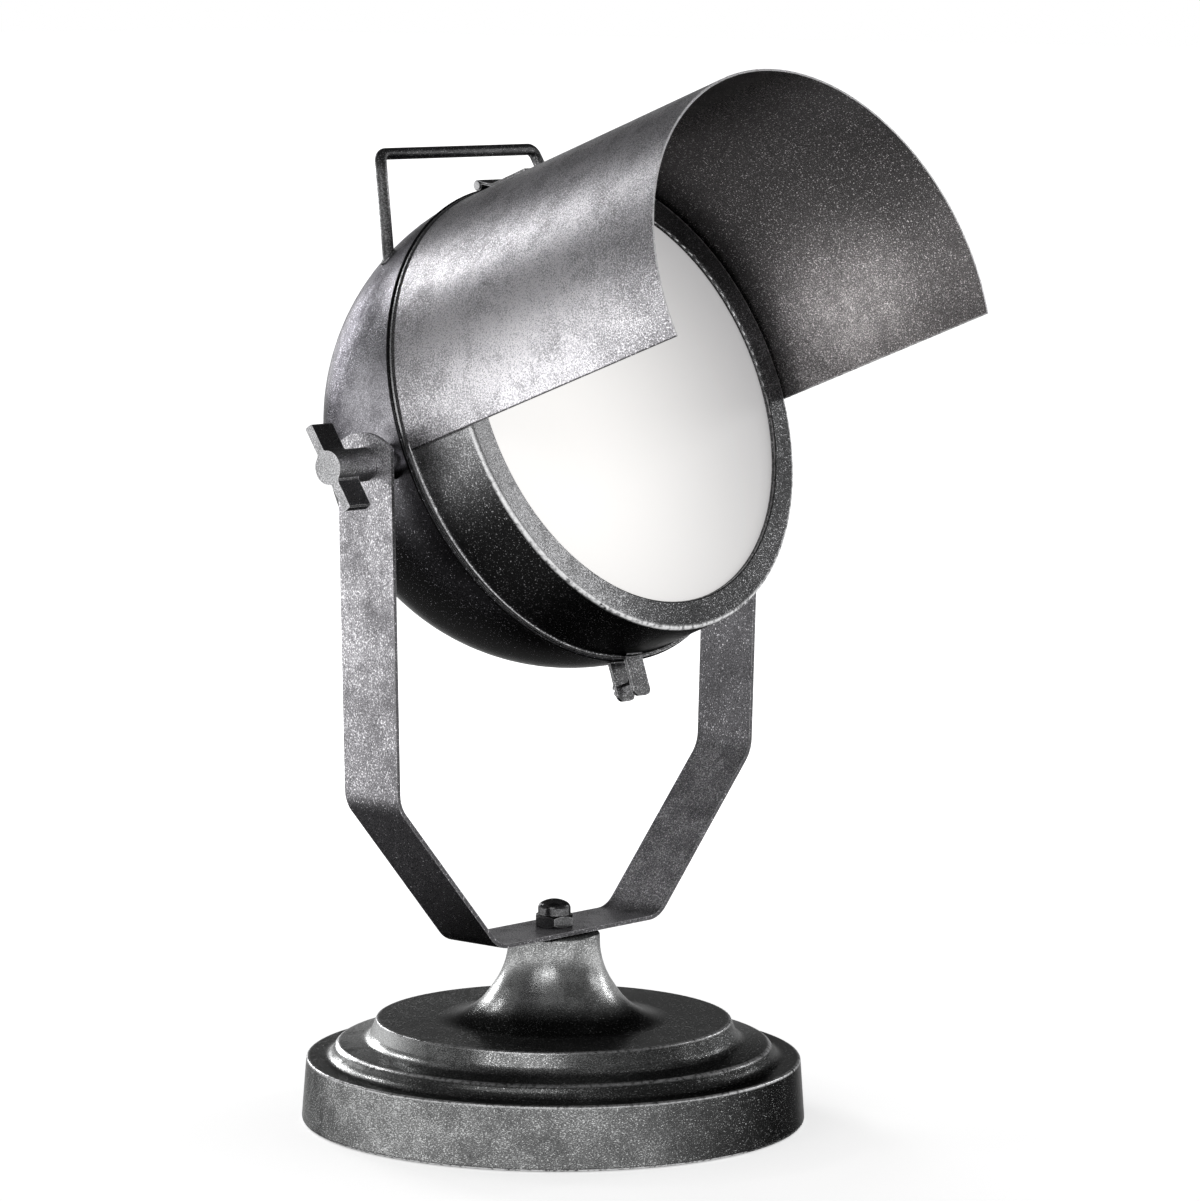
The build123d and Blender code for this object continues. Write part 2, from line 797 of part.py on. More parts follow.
with BuildPart() as nipple_washer:
    with BuildSketch(head_plane.offset(shell_inner_flat)):
        Circle(inner_washer_radius)
        Circle(thread_hole, mode=Mode.SUBTRACT)
    extrude(amount=inner_washer_thickness)
write(nipple_washer, "nipple_washer")

with BuildPart() as nipple_locknut:
    with BuildSketch(head_plane.offset(washer_front)):
        RegularPolygon(locknut_flats / 2, 6, major_radius=False)
        Circle(thread_hole, mode=Mode.SUBTRACT)
    extrude(amount=locknut_height)
write(nipple_locknut, "nipple_locknut")

with BuildPart() as lampholder:
    with BuildSketch(head_section):
        with BuildLine():
            Polyline(
                (thread_hole, holder_back),
                (holder_back_radius, holder_back),
                (holder_radius, holder_back + holder_back_length),
                (holder_radius, holder_front),
                (holder_radius - holder_wall, holder_front),
                (holder_radius - holder_wall, holder_back + holder_back_length + holder_floor),
                (thread_hole, holder_back + holder_back_length + holder_floor),
                close=True,
            )
        make_face()
    revolve(axis=head_axis)
write(lampholder, "lampholder")

holder_seat = holder_back + holder_back_length + holder_floor
cap_back = holder_seat + contact_height + contact_sheet + cap_tip_height
cap_front = cap_back + cap_length

with BuildPart() as holder_sleeve:
    with BuildSketch(head_section):
        with BuildLine():
            Polyline((holder_radius - holder_wall, holder_seat), (sleeve_radius, holder_seat))
            Line((sleeve_radius, holder_seat), (sleeve_radius, holder_seat + sleeve_length))
            offset(amount=sleeve_wall, side=Side.RIGHT)
        make_face()
    revolve(axis=head_axis)
write(holder_sleeve, "holder_sleeve")

with BuildPart() as holder_contact:
    with BuildSketch(head_section):
        with BuildLine():
            FilletPolyline(
                (-contact_half, holder_seat),
                (-contact_half / 2, holder_seat),
                (0, holder_seat + contact_height),
                (contact_half / 2, holder_seat + contact_height),
                radius=contact_bend,
            )
            offset(amount=contact_sheet, side=Side.LEFT)
        make_face()
    extrude(amount=contact_width / 2, both=True)
write(holder_contact, "holder_contact")

with BuildPart() as bulb_cap:
    with BuildSketch(head_section):
        with BuildLine():
            Polyline(
                (0, cap_back - cap_tip_height),
                (cap_tip_radius, cap_back - cap_tip_height),
                (cap_tip_radius, cap_back),
                (cap_radius, cap_back + cap_tip_radius),
                (cap_radius, cap_front),
                (0, cap_front),
                close=True,
            )
        make_face()
    revolve(axis=head_axis)
write(bulb_cap, "bulb_cap")

globe_centre = cap_front + globe_centre_ahead
shoulder_radius = globe_radius * cos(radians(globe_shoulder))
shoulder_place = globe_centre - globe_radius * sin(radians(globe_shoulder))
neck_place = shoulder_place - (shoulder_radius - globe_neck_radius) / tan(radians(globe_shoulder))

with BuildPart() as bulb_globe:
    with BuildSketch(head_section):
        with BuildLine():
            FilletPolyline(
                (globe_neck_radius, cap_front),
                (globe_neck_radius, neck_place),
                (shoulder_radius, shoulder_place),
                radius=globe_neck_round,
            )
            CenterArc((0, globe_centre), globe_radius, -globe_shoulder, 90 + globe_shoulder)
            offset(amount=globe_wall, side=Side.LEFT)
        make_face()
    revolve(axis=head_axis)
write(bulb_globe, "bulb_globe")

with BuildPart() as cord_grip:
    with BuildSketch(head_section):
        with BuildLine():
            FilletPolyline(
                (thread_hole, -shell_flat),
                (grip_radius, -shell_flat),
                (grip_radius, -shell_flat - grip_length),
                (grip_nose_radius, -shell_flat - grip_length - grip_nose_length),
                (grip_bore, -shell_flat - grip_length - grip_nose_length),
                (grip_bore, -shell_flat - nipple_outside),
                (thread_hole, -shell_flat - nipple_outside),
                close=True,
                radius=(0, grip_edge_round, grip_shoulder_round, grip_edge_round, 0, 0, 0),
            )
        make_face()
    revolve(axis=head_axis)
write(cord_grip, "cord_grip")
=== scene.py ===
"""Looks of the tabletop searchlight lamp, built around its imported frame.

Metres, +Z up, the origin under the middle of the foot. The lens faces -Y and upwards. Left is -X, as the
camera sees the lamp.
"""

import json
from math import cos, pi, radians, sin

import bpy
from mathutils import Matrix, Vector


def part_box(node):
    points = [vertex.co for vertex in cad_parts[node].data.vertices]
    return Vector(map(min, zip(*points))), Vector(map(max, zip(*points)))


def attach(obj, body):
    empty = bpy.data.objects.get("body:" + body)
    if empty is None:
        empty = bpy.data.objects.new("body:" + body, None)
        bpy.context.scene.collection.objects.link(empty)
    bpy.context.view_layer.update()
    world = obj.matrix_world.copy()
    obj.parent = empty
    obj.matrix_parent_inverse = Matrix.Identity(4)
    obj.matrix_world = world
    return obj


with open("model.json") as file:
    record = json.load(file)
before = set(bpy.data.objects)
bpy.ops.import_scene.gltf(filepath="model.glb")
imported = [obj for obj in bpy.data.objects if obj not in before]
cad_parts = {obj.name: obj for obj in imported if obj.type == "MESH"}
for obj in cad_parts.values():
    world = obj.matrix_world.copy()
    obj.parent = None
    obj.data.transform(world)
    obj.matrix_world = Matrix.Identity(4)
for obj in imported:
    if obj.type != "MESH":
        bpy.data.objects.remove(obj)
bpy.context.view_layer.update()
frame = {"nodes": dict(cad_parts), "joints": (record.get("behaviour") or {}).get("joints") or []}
nodes = frame["nodes"]
joints = {joint["name"]: joint for joint in frame["joints"]}

MM = 0.001

# ---------------------------------------------------------------- places read from the frame
SHELL_RADIUS = 112.5 * MM

FORWARD = -Vector(joints["latch_screw_slide"]["axis"]).normalized()
SIDEWAYS = Vector((1, 0, 0))
UPWARD = FORWARD.cross(SIDEWAYS)
PIVOT = Vector(joints["head_tilt"]["pos_m"])
shell_low, shell_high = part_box("rear_shell")
HEAD_CENTRE = Vector((0, shell_high.y - SHELL_RADIUS, shell_low.z + SHELL_RADIUS))
HEAD_TURN = Matrix((SIDEWAYS, UPWARD, FORWARD)).transposed().to_4x4()
HEAD_FRAME = Matrix.Translation(HEAD_CENTRE) @ HEAD_TURN


# ---------------------------------------------------------------- node helpers
BEVEL_SAMPLES = 6


class Shader:
    """A material's node tree, with short calls for the nodes that the finishes use."""

    def __init__(self, name):
        self.material = bpy.data.materials.new(name)
        self.material.use_nodes = True
        self.tree = self.material.node_tree
        self.tree.nodes.clear()
        self.output = self.tree.nodes.new("ShaderNodeOutputMaterial")
        self.principled = self.tree.nodes.new("ShaderNodeBsdfPrincipled")
        self.link(self.principled.outputs[0], self.output.inputs["Surface"])

    def link(self, source, target):
        self.tree.links.new(source, target)

    def put(self, socket, value):
        if isinstance(value, bpy.types.NodeSocket):
            self.link(value, socket)
        else:
            socket.default_value = value

    def set(self, **values):
        """Sets or links inputs of the Principled shader, by name with underscores for spaces."""
        for name, value in values.items():
            self.put(self.principled.inputs[name.replace("_", " ")], value)

    def math(self, operation, first, second=0.0, third=0.0, clamp=False):
        node = self.tree.nodes.new("ShaderNodeMath")
        node.operation = operation
        node.use_clamp = clamp
        for socket, value in zip(node.inputs, (first, second, third)):
            self.put(socket, value)
        return node.outputs[0]

    def vector(self, operation, first, second=(0.0, 0.0, 0.0)):
        node = self.tree.nodes.new("ShaderNodeVectorMath")
        node.operation = operation
        self.put(node.inputs[0], first)
        self.put(node.inputs["Scale" if operation == "SCALE" else 1], second)
        return node.outputs["Value" if operation in ("LENGTH", "DOT_PRODUCT") else "Vector"]

    def position(self):
        """The place on the part at rest, in metres."""
        return self.tree.nodes.new("ShaderNodeTexCoord").outputs["Object"]

    def millimetres(self):
        """The place on the part at rest, in millimetres."""
        return self.vector("MULTIPLY", self.position(), (1000, 1000, 1000))

    def direction(self):
        """The surface's own direction at rest, so that it turns with the part."""
        return self.tree.nodes.new("ShaderNodeTexCoord").outputs["Normal"]

    def facing(self):
        """The X, Y and Z of the surface's own direction."""
        return self.split(self.direction())

    def distance_from(self, point):
        return self.vector("LENGTH", self.vector("SUBTRACT", self.position(), tuple(point)))

    def mapped(self, vector, rotation=(0, 0, 0), scale=(1, 1, 1)):
        node = self.tree.nodes.new("ShaderNodeMapping")
        self.put(node.inputs["Vector"], vector)
        node.inputs["Rotation"].default_value = rotation
        node.inputs["Scale"].default_value = scale
        return node.outputs[0]

    def split(self, vector):
        node = self.tree.nodes.new("ShaderNodeSeparateXYZ")
        self.put(node.inputs[0], vector)
        return node.outputs

    def joined(self, x, y, z):
        node = self.tree.nodes.new("ShaderNodeCombineXYZ")
        for socket, value in zip(node.inputs, (x, y, z)):
            self.put(socket, value)
        return node.outputs[0]

    def noise(self, vector, scale, detail=2.0, roughness=0.5, distortion=0.0):
        node = self.tree.nodes.new("ShaderNodeTexNoise")
        self.put(node.inputs["Vector"], vector)
        node.inputs["Scale"].default_value = scale
        node.inputs["Detail"].default_value = detail
        node.inputs["Roughness"].default_value = roughness
        node.inputs["Distortion"].default_value = distortion
        return node.outputs[0]

    def ramp(self, value, low, high, bottom=0.0, top=1.0):
        """Carries value from low..high to bottom..top, smoothly and clamped."""
        node = self.tree.nodes.new("ShaderNodeMapRange")
        node.interpolation_type = "SMOOTHSTEP"
        for socket, number in zip(node.inputs, (value, low, high, bottom, top)):
            self.put(socket, number)
        return node.outputs[0]

    def mixed(self, share, first, second):
        """Mixes two colours."""
        node = self.tree.nodes.new("ShaderNodeMix")
        node.data_type = "RGBA"
        self.put(node.inputs["Factor"], share)
        colours = [socket for socket in node.inputs if socket.type == "RGBA"]
        for socket, value in zip(colours, (first, second)):
            self.put(socket, value)
        return next(socket for socket in node.outputs if socket.type == "RGBA")

    def bump(self, height, distance):
        node = self.tree.nodes.new("ShaderNodeBump")
        self.put(node.inputs["Height"], height)
        node.inputs["Distance"].default_value = distance
        return node.outputs[0]

    def worn_edges(self, radius):
        """0 on open faces and towards 1 at sharp edges, over about radius."""
        bevel = self.tree.nodes.new("ShaderNodeBevel")
        bevel.samples = BEVEL_SAMPLES
        bevel.inputs["Radius"].default_value = radius
        plain = self.tree.nodes.new("ShaderNodeNewGeometry").outputs["Normal"]
        likeness = self.vector("DOT_PRODUCT", bevel.outputs[0], plain)
        return self.ramp(likeness, 0.995, 0.85)


def grey(value, red=1.0, blue=1.0):
    return (value * red, value, value * blue, 1.0)


def scaled(colour, share):
    """A lighter or darker colour, with its alpha kept at 1."""
    return tuple(share * channel for channel in colour[:3]) + (1.0,)


# ---------------------------------------------------------------- places on the turned parts
def round_the_foot(shader):
    """The height and the radius on the foot, in millimetres."""
    x, y, z = shader.split(shader.millimetres())
    return z, shader.vector("LENGTH", shader.joined(x, y, 0.0))


def round_the_head(shader):
    """The place along the head's axis and the radius about it, in millimetres."""
    back = HEAD_FRAME.inverted()
    place = shader.position()
    rows = []
    for row in range(3):
        axis = tuple(back[row][column] * 1000 for column in range(3))
        along = shader.vector("DOT_PRODUCT", place, axis)
        rows.append(shader.math("ADD", along, back[row][3] * 1000))
    x, y, z = rows
    return z, shader.vector("LENGTH", shader.joined(x, y, 0.0))


def from_head_centre(shader):
    return shader.vector("SUBTRACT", shader.position(), tuple(HEAD_CENTRE))


# ---------------------------------------------------------------- where the finish and the painted light differ
# Each mask gives a share at every point of a part: mostly painted light and shade by side and place, which also
# sets how thickly the brush's silver grains lie.
# The numbers in a ramp are its two ends, in metres or as a part of a direction, and then the shares there.
def strap_painted_light(shader):
    """Painted light and shade: most on the strap's outer and upper faces, less on its inner faces, low down and
    on the sheet's edges.
    """
    inner_faces, upper_faces, sheet_edges = 0.45, 0.65, 0.45
    low_part, arms = 0.75, 1.05
    place = shader.split(shader.position())
    outwards = shader.math("MULTIPLY", shader.facing()["X"], shader.math("SIGN", place["X"]))
    share = shader.ramp(outwards, -0.35, 0.1, inner_faces, 1.0)
    share = shader.math("ADD", share, shader.ramp(shader.facing()["Z"], 0.1, 0.4, 0.0, upper_faces))
    share = shader.math("MULTIPLY", share, shader.ramp(place["Z"], 0.16, 0.26, low_part, arms))
    edges = shader.ramp(shader.math("ABSOLUTE", shader.facing()["Y"]), 0.6, 0.9, 1.0, sheet_edges)
    return shader.math("MULTIPLY", share, edges)


def visor_painted_light(shader):
    """Painted shade inside and lighter outside, with a painted highlight patch on either face, painted light on
    faces that look up, and a painted shadow line along the left lower edge.
    """
    inner_highlight_patch = HEAD_FRAME @ Vector((101 * MM, 37 * MM, 90 * MM))
    outer_highlight_patch = HEAD_FRAME @ Vector((-108 * MM, 15 * MM, 80 * MM))
    inside_highlight, inner = 1.08, 0.48
    outside_highlight, outer = 1.2, 0.72
    upper_faces, most = 0.3, 1.2
    inside = shader.ramp(shader.distance_from(inner_highlight_patch), 0.015, 0.05, inside_highlight, inner)
    outside = shader.ramp(shader.distance_from(outer_highlight_patch), 0.025, 0.075, outside_highlight, outer)
    share = shader.ramp(inside_of_head(shader), 0.0, 1.0, outside, inside)
    share = shader.math("ADD", share, shader.ramp(shader.facing()["Z"], 0.12, 0.4, 0.0, upper_faces))
    share = shader.math("MINIMUM", share, most)
    # Painted shadow line along the visor's left lower edge.
    return shader.math("MULTIPLY", share, lower_edge(shader, 1.0, 0.0, 1.0))


def ring_painted_light(shader):
    """Painted light on the lens ring's left side, well over 1, falling across it to half on the right as
    painted shade.
    """
    left, right = 1.8, 0.5
    return shader.ramp(shader.split(shader.position())["X"], -0.10, -0.01, left, right)


def shell_painted_light(shader):
    """Painted light and shade: just over 1 beside the lens ring as a painted highlight, less at the back and
    low down as painted shade, and hardly any on the rim's bead, which is painted dark.
    """
    back, rim, low_part, bead = 0.6, 1.1, 0.9, 0.12
    from_centre = from_head_centre(shader)
    forward = shader.vector("DOT_PRODUCT", from_centre, tuple(FORWARD))
    share = shader.math(
        "MULTIPLY",
        shader.ramp(shader.split(from_centre)["Z"], -0.06, 0.0, low_part, 1.0),
        shader.ramp(forward, -2.8 * MM, -2.0 * MM, 1.0, bead),
    )
    return shader.math("MULTIPLY", share, shader.ramp(forward, -0.075, -0.01, back, rim))


def handle_grip_darker(shader):
    """The handle's grip is darker than its legs."""
    legs, grip = 1.4, 0.6
    return shader.ramp(shader.split(shader.position())["Z"], 0.436, 0.443, legs, grip)


def wing_painted_light(shader):
    """Painted light and shade by face: 1 on a wing screw's faces square to X, less round its middle and little
    on its wings' flats.
    """
    middle, flats = 0.65, 0.12
    square_to_tilt_axis = (0, 1, 1)
    offset = shader.vector("SUBTRACT", shader.position(), tuple(PIVOT))
    from_axis = shader.vector("LENGTH", shader.vector("MULTIPLY", offset, square_to_tilt_axis))
    body = shader.ramp(from_axis, 7.6 * MM, 8.4 * MM, middle, flats)
    return shader.ramp(shader.math("ABSOLUTE", shader.facing()["X"]), 0.5, 0.9, body, 1.0)


def foot_painted_light(shader):
    """Painted light and shade: least on the skirt's right flank, on the shelves and on the plate, most on the
    neck, and a painted highlight on the left of the coves.
    """
    right_flank = (0.653, -0.757, 0.0)
    elsewhere, flank_of_skirt, flank_above = 0.8, 0.1, 0.5
    # From each of these heights up the share is changed: above the skirt, above the step and on the plate.
    levels = ((0.0285, 0.0300, 0.7), (0.0360, 0.0385, 1.5), (0.0468, 0.0480, 0.4))
    coves_left_highlight, rest_of_coves, plate_above = 2.6, 1.0, 0.8
    neck, neck_top = 1.7, 0.55
    x, y, z = shader.split(shader.position())
    outwards = shader.vector("NORMALIZE", shader.joined(x, y, 0.0))
    towards_flank = shader.vector("DOT_PRODUCT", outwards, right_flank)
    flank = shader.ramp(z, 0.029, 0.031, flank_of_skirt, flank_above)
    share = shader.ramp(towards_flank, 0.2, 0.9, elsewhere, flank)
    for low, high, change in levels:
        share = shader.math("MULTIPLY", share, shader.ramp(z, low, high, 1.0, change))
    # Painted highlight on the left of the coves.
    coves = shader.ramp(towards_flank, -0.9, -0.5, coves_left_highlight, rest_of_coves)
    share = shader.math("MULTIPLY", share, shader.ramp(z, 0.0295, 0.0305, 1.0, coves))
    above_coves = shader.math("DIVIDE", plate_above, coves)
    share = shader.math("MULTIPLY", share, shader.ramp(z, 0.0462, 0.0470, 1.0, above_coves))
    # Painted highlight up the neck, less at its top.
    flare = shader.math(
        "MULTIPLY", shader.ramp(z, 0.048, 0.062, 0.0, neck), shader.ramp(z, 0.066, 0.086, 1.0, neck_top)
    )
    return shader.math("MAXIMUM", share, flare)


def inside_of_head(shader):
    """1 on faces that look towards the head's axis, and 0 on those that look away."""
    from_centre = from_head_centre(shader)
    forward = shader.vector("DOT_PRODUCT", from_centre, tuple(FORWARD))
    along_axis = shader.vector("SCALE", tuple(FORWARD), forward)
    radial = shader.vector("NORMALIZE", shader.vector("SUBTRACT", from_centre, along_axis))
    return shader.ramp(shader.vector("DOT_PRODUCT", radial, shader.direction()), -0.3, 0.2, 1.0, 0.0)


def lower_edge(shader, away, left, right):
    """Away over most of the visor, and left or right along its lower edge on that side."""
    from_centre = from_head_centre(shader)
    height = shader.vector("DOT_PRODUCT", from_centre, tuple(UPWARD))
    beside = shader.ramp(shader.split(from_centre)["X"], -1.0 * MM, 1.0 * MM, left, right)
    return shader.ramp(height, -7.0 * MM, -6.3 * MM, beside, away)


def cut_rim(shader):
    """1 on the visor's edge that looks along the head's axis, and nearly 1 on its lower edge on the right,
    which is a painted highlight.
    """
    rim = shader.ramp(shader.vector("DOT_PRODUCT", shader.direction(), tuple(FORWARD)), 0.8, 0.95)
    return shader.math("MAXIMUM", rim, lower_edge(shader, 0.0, 0.0, 0.9))


def rubbed_lines(turned_place, lines):
    """1 along circles of a turned part: each line is a radius, a height and a half width in millimetres."""

    def share(shader):
        height, radius = turned_place(shader)
        nearest = None
        for line_radius, line_height, reach in lines:
            gap = shader.joined(
                shader.math("SUBTRACT", radius, line_radius), shader.math("SUBTRACT", height, line_height), 0.0
            )
            near = shader.ramp(shader.vector("LENGTH", gap), 0.3 * reach, reach, 1.0, 0.0)
            nearest = near if nearest is None else shader.math("MAXIMUM", nearest, near)
        return nearest

    return share


# ---------------------------------------------------------------- finishes
GRAIN_SCALE = 1.5
RUBBED = grey(0.75, 1.0, 1.01)
# A painted warm glow of the lamp's light.
LAMP_GLOW_TINT = (1.0, 0.98, 0.945, 1)
NO_TINT = (1, 1, 1, 1)


def antique_nickel(
    name,
    dark,
    light,
    silver,
    cover,
    under=0.3,
    under_from=0.05,
    gloom=0.25,
    fleck=0.64,
    rough=0.36,
    edge=0.6,
    stretch=(0.9, 0.9, 1.1),
    tint=(1.0, 1.02),
    rim=0.3,
    relief=0.022,
    wear_and_light=None,
    lines=None,
    lamp_glow=None,
    seed=0.0,
):
    """Dark lacquer over nickel, given a dry brush of silver: fine silver grains that gather in patches, and
    rubbed edges.

    dark, light and silver are the tones of the lacquer's dark and light patches and of the grains.
    cover is how thickly the grains lie where the brush went, and a higher fleck makes them rarer everywhere.
    under is the share on faces that look down, which goes to 1 where a direction's Z is under_from: painted
    shade, which darkens the lacquer there and thins its grains.
    gloom is the share of the lacquer's tone that is left where the painted shade is deepest.
    edge is how bright the sharp edges are rubbed.
    stretch squeezes the grains along each axis, and relief is their height in millimetres.
    tint is red and blue beside a green of 1, and rim tones down the reflections at a grazing angle.
    wear_and_light, lines and lamp_glow are masks: of the brush's wear together with painted light and shade, of
    lines rubbed bright and of a painted warm glow of the lamp's light.
    """
    red, blue = tint
    shader = Shader(name)
    place = shader.vector("ADD", shader.millimetres(), (seed, 1.7 * seed, 2.3 * seed))
    patches = shader.noise(place, 0.022, 3.0, 0.55)
    clouds = shader.noise(place, 0.10, 4.0, 0.6, 0.6)
    density = shader.math("ADD", shader.math("MULTIPLY", patches, 0.55), shader.math("MULTIPLY", clouds, 0.45))
    # Painted shade on faces that look down, times the mask of painted light and shade; this share darkens the
    # lacquer and sets how thickly the grains lie.
    brush_and_light = shader.ramp(shader.facing()["Z"], under_from - 0.6, under_from, under, 1.0)
    if wear_and_light is not None:
        brush_and_light = shader.math("MULTIPLY", brush_and_light, wear_and_light(shader))

    # Silver grains, and a few long scratches.
    local = shader.math("ADD", shader.math("MULTIPLY", shader.math("SUBTRACT", density, 0.5), 2.4), cover)
    local = shader.math("MULTIPLY", local, brush_and_light, clamp=True)
    level = shader.math("SUBTRACT", fleck, shader.math("MULTIPLY", local, 0.17))
    stretched = shader.mapped(place, scale=stretch)
    grain = shader.noise(stretched, GRAIN_SCALE, 3.0, 0.62)
    mark = shader.ramp(grain, level, shader.math("ADD", level, 0.12))
    strokes = shader.mapped(place, rotation=(0, 0, 0.35), scale=(0.10, 1.6, 1.6))
    long_marks = shader.noise(strokes, 1.0, 2.0, 0.5)
    scratch = shader.ramp(long_marks, 0.68, 0.74, 0.0, shader.math("MULTIPLY", local, 0.8))
    mark = shader.math("MAXIMUM", mark, scratch)

    # Edges and lines rubbed down to the nickel, with gaps.
    edges = shader.math("MULTIPLY", shader.worn_edges(0.8 * MM), edge)
    if lines is not None:
        edges = shader.math("MAXIMUM", edges, lines(shader))
    rub = shader.math("MULTIPLY", edges, shader.ramp(shader.noise(place, 0.45, 3.0), 0.25, 0.6))

    # The lacquer between the grains.
    tone = shader.math("MULTIPLY", shader.ramp(density, 0.22, 0.70), brush_and_light)
    fine = shader.ramp(shader.noise(stretched, 1.6 * GRAIN_SCALE, 2.0), 0.3, 0.7, 0.45, 1.55)
    base = shader.mixed(tone, grey(dark, red, blue), grey(light, red, blue))
    # Painted shade: the lacquer's tone is scaled down with the share, to gloom at the least.
    shade = shader.math("ADD", shader.math("MULTIPLY", brush_and_light, 1.0 - gloom), gloom)
    base = shader.vector("SCALE", base, shader.math("MULTIPLY", fine, shade))
    marked = shader.mixed(mark, base, grey(silver, red, blue))
    # Painted warm glow of the lamp's light, where the mask is given.
    if lamp_glow is not None:
        marked = shader.vector("MULTIPLY", marked, shader.mixed(lamp_glow(shader), NO_TINT, LAMP_GLOW_TINT))
    shader.set(
        Base_Color=shader.mixed(rub, marked, RUBBED),
        Metallic=0.92,
        Roughness=shader.ramp(mark, 0.0, 1.0, rough, rough - 0.08),
        Specular_Tint=(rim, rim, rim, 1.0),
        Normal=shader.bump(shader.math("ADD", shader.math("MULTIPLY", mark, 0.5), grain), relief * MM),
    )
    return shader.material


def plain_metal(name, colour, rough):
    """Bare or plated metal with smudges and fine scratches."""
    shader = Shader(name)
    place = shader.millimetres()
    smudge = shader.noise(place, 0.16, 3.0)
    scratches = shader.noise(shader.mapped(place, scale=(0.2, 2.0, 2.0)), 0.8, 2.0)
    worn = shader.math("ADD", shader.math("MULTIPLY", smudge, 0.6), shader.math("MULTIPLY", scratches, 0.4))
    shader.set(
        Base_Color=shader.mixed(shader.ramp(worn, 0.3, 0.7), scaled(colour, 0.6), colour),
        Metallic=1.0,
        Roughness=shader.ramp(worn, 0.2, 0.8, rough + 0.1, rough - 0.08),
        Normal=shader.bump(scratches, 0.01 * MM),
    )
    return shader.material


def moulded(name, colour, rough):
    """Plastic, rubber, fibre or primer, with a fine grain."""
    shader = Shader(name)
    place = shader.millimetres()
    grain = shader.noise(place, 2.5, 2.0)
    cloud = shader.noise(place, 0.08, 3.0)
    shader.set(
        Base_Color=shader.mixed(shader.ramp(cloud, 0.3, 0.7), colour, scaled(colour, 0.75)),
        Roughness=shader.ramp(grain, 0.2, 0.8, rough - 0.06, rough + 0.08),
        Normal=shader.bump(grain, 0.03 * MM),
    )
    return shader.material


def felt(name, colour):
    shader = Shader(name)
    fibres = shader.noise(shader.millimetres(), 1.6, 5.0, 0.75, 1.5)
    shader.set(
        Base_Color=shader.mixed(shader.ramp(fibres, 0.3, 0.7), colour, scaled(colour, 1.7)),
        Roughness=0.95,
        Sheen_Weight=0.3,
        Normal=shader.bump(fibres, 0.3 * MM),
    )
    return shader.material


def frosted_glass(name):
    """Etched glass with the bulb alight behind it: brightest low on the left, greyer away from there, the
    greying partly from the bulb's place and partly painted shade of the visor.
    """
    shader = Shader(name)
    etch = shader.noise(shader.millimetres(), 3.0, 2.0)
    bright_spot = HEAD_FRAME @ Vector((-62 * MM, -18 * MM, 34 * MM))
    fall = shader.ramp(shader.distance_from(bright_spot), 0.02, 0.19)
    shader.set(
        Base_Color=(0.55, 0.545, 0.54, 1.0),
        Roughness=0.42,
        Specular_IOR_Level=0.3,
        Emission_Color=shader.mixed(fall, (1.0, 0.985, 0.965, 1.0), (0.36, 0.355, 0.36, 1.0)),
        Emission_Strength=0.8,
        Normal=shader.bump(etch, 0.01 * MM),
    )
    return shader.material


def bulb_glass(name):
    shader = Shader(name)
    cloud = shader.noise(shader.millimetres(), 0.05, 2.0)
    shader.set(
        Base_Color=shader.mixed(shader.ramp(cloud, 0.3, 0.7), (0.66, 0.65, 0.63, 1.0), (0.6, 0.59, 0.57, 1.0)),
        Roughness=shader.ramp(cloud, 0.3, 0.7, 0.25, 0.35),
        Emission_Color=(1.0, 0.95, 0.86, 1.0),
        Emission_Strength=0.3,
    )
    return shader.material


# The top edges of the skirt, step and plate, and the skirt's hem.
FOOT_LINES = ((114.1, 29.4, 1.5), (100.2, 36.0, 1.6), (81.9, 47.1, 1.4), (116.2, 0.6, 1.0))
# The bezel's outer edge, the ring's rear edge and the bezel's inner edge.
RING_LINES = ((108.7, 37.0, 1.8), (112.6, 1.6, 0.7), (96.3, 37.6, 0.6))

FOOT = antique_nickel(
    "foot_nickel",
    dark=0.11,
    light=0.30,
    silver=0.75,
    cover=0.65,
    gloom=0.0,
    fleck=0.62,
    rough=0.29,
    relief=0.012,
    stretch=(0.8, 0.8, 1.9),
    tint=(0.99, 1.0),
    wear_and_light=foot_painted_light,
    lines=rubbed_lines(round_the_foot, FOOT_LINES),
)
STRAP = antique_nickel(
    "strap_nickel",
    dark=0.15,
    light=0.44,
    silver=1.0,
    cover=0.75,
    under=0.15,
    under_from=0.0,
    gloom=0.2,
    rough=0.38,
    stretch=(1.0, 1.0, 0.8),
    tint=(1.02, 1.05),
    edge=0.3,
    wear_and_light=strap_painted_light,
    seed=5.0,
)
SHELL = antique_nickel(
    "shell_nickel",
    dark=0.15,
    light=0.42,
    silver=0.65,
    cover=0.6,
    under=0.09,
    under_from=0.1,
    gloom=0.0,
    rough=0.30,
    edge=0.1,
    tint=(1.02, 1.07),
    rim=0.15,
    wear_and_light=shell_painted_light,
    seed=11.0,
)
RING = antique_nickel(
    "ring_nickel",
    dark=0.10,
    light=0.25,
    silver=0.6,
    cover=0.7,
    fleck=0.62,
    under=0.03,
    under_from=0.15,
    gloom=0.05,
    rough=0.34,
    wear_and_light=ring_painted_light,
    lines=rubbed_lines(round_the_head, RING_LINES),
    seed=17.0,
)
VISOR = antique_nickel(
    "visor_nickel",
    dark=0.27,
    light=0.59,
    silver=0.98,
    cover=0.8,
    under=0.2,
    gloom=0.16,
    fleck=0.605,
    rough=0.36,
    edge=0.15,
    stretch=(1.0, 0.9, 1.1),
    tint=(1.02, 1.05),
    wear_and_light=visor_painted_light,
    lines=cut_rim,
    # Painted warm glow on faces that look towards the head's axis.
    lamp_glow=inside_of_head,
    seed=23.0,
)
SMALL = antique_nickel("small_nickel", dark=0.08, light=0.18, silver=0.7, cover=0.6, seed=29.0)
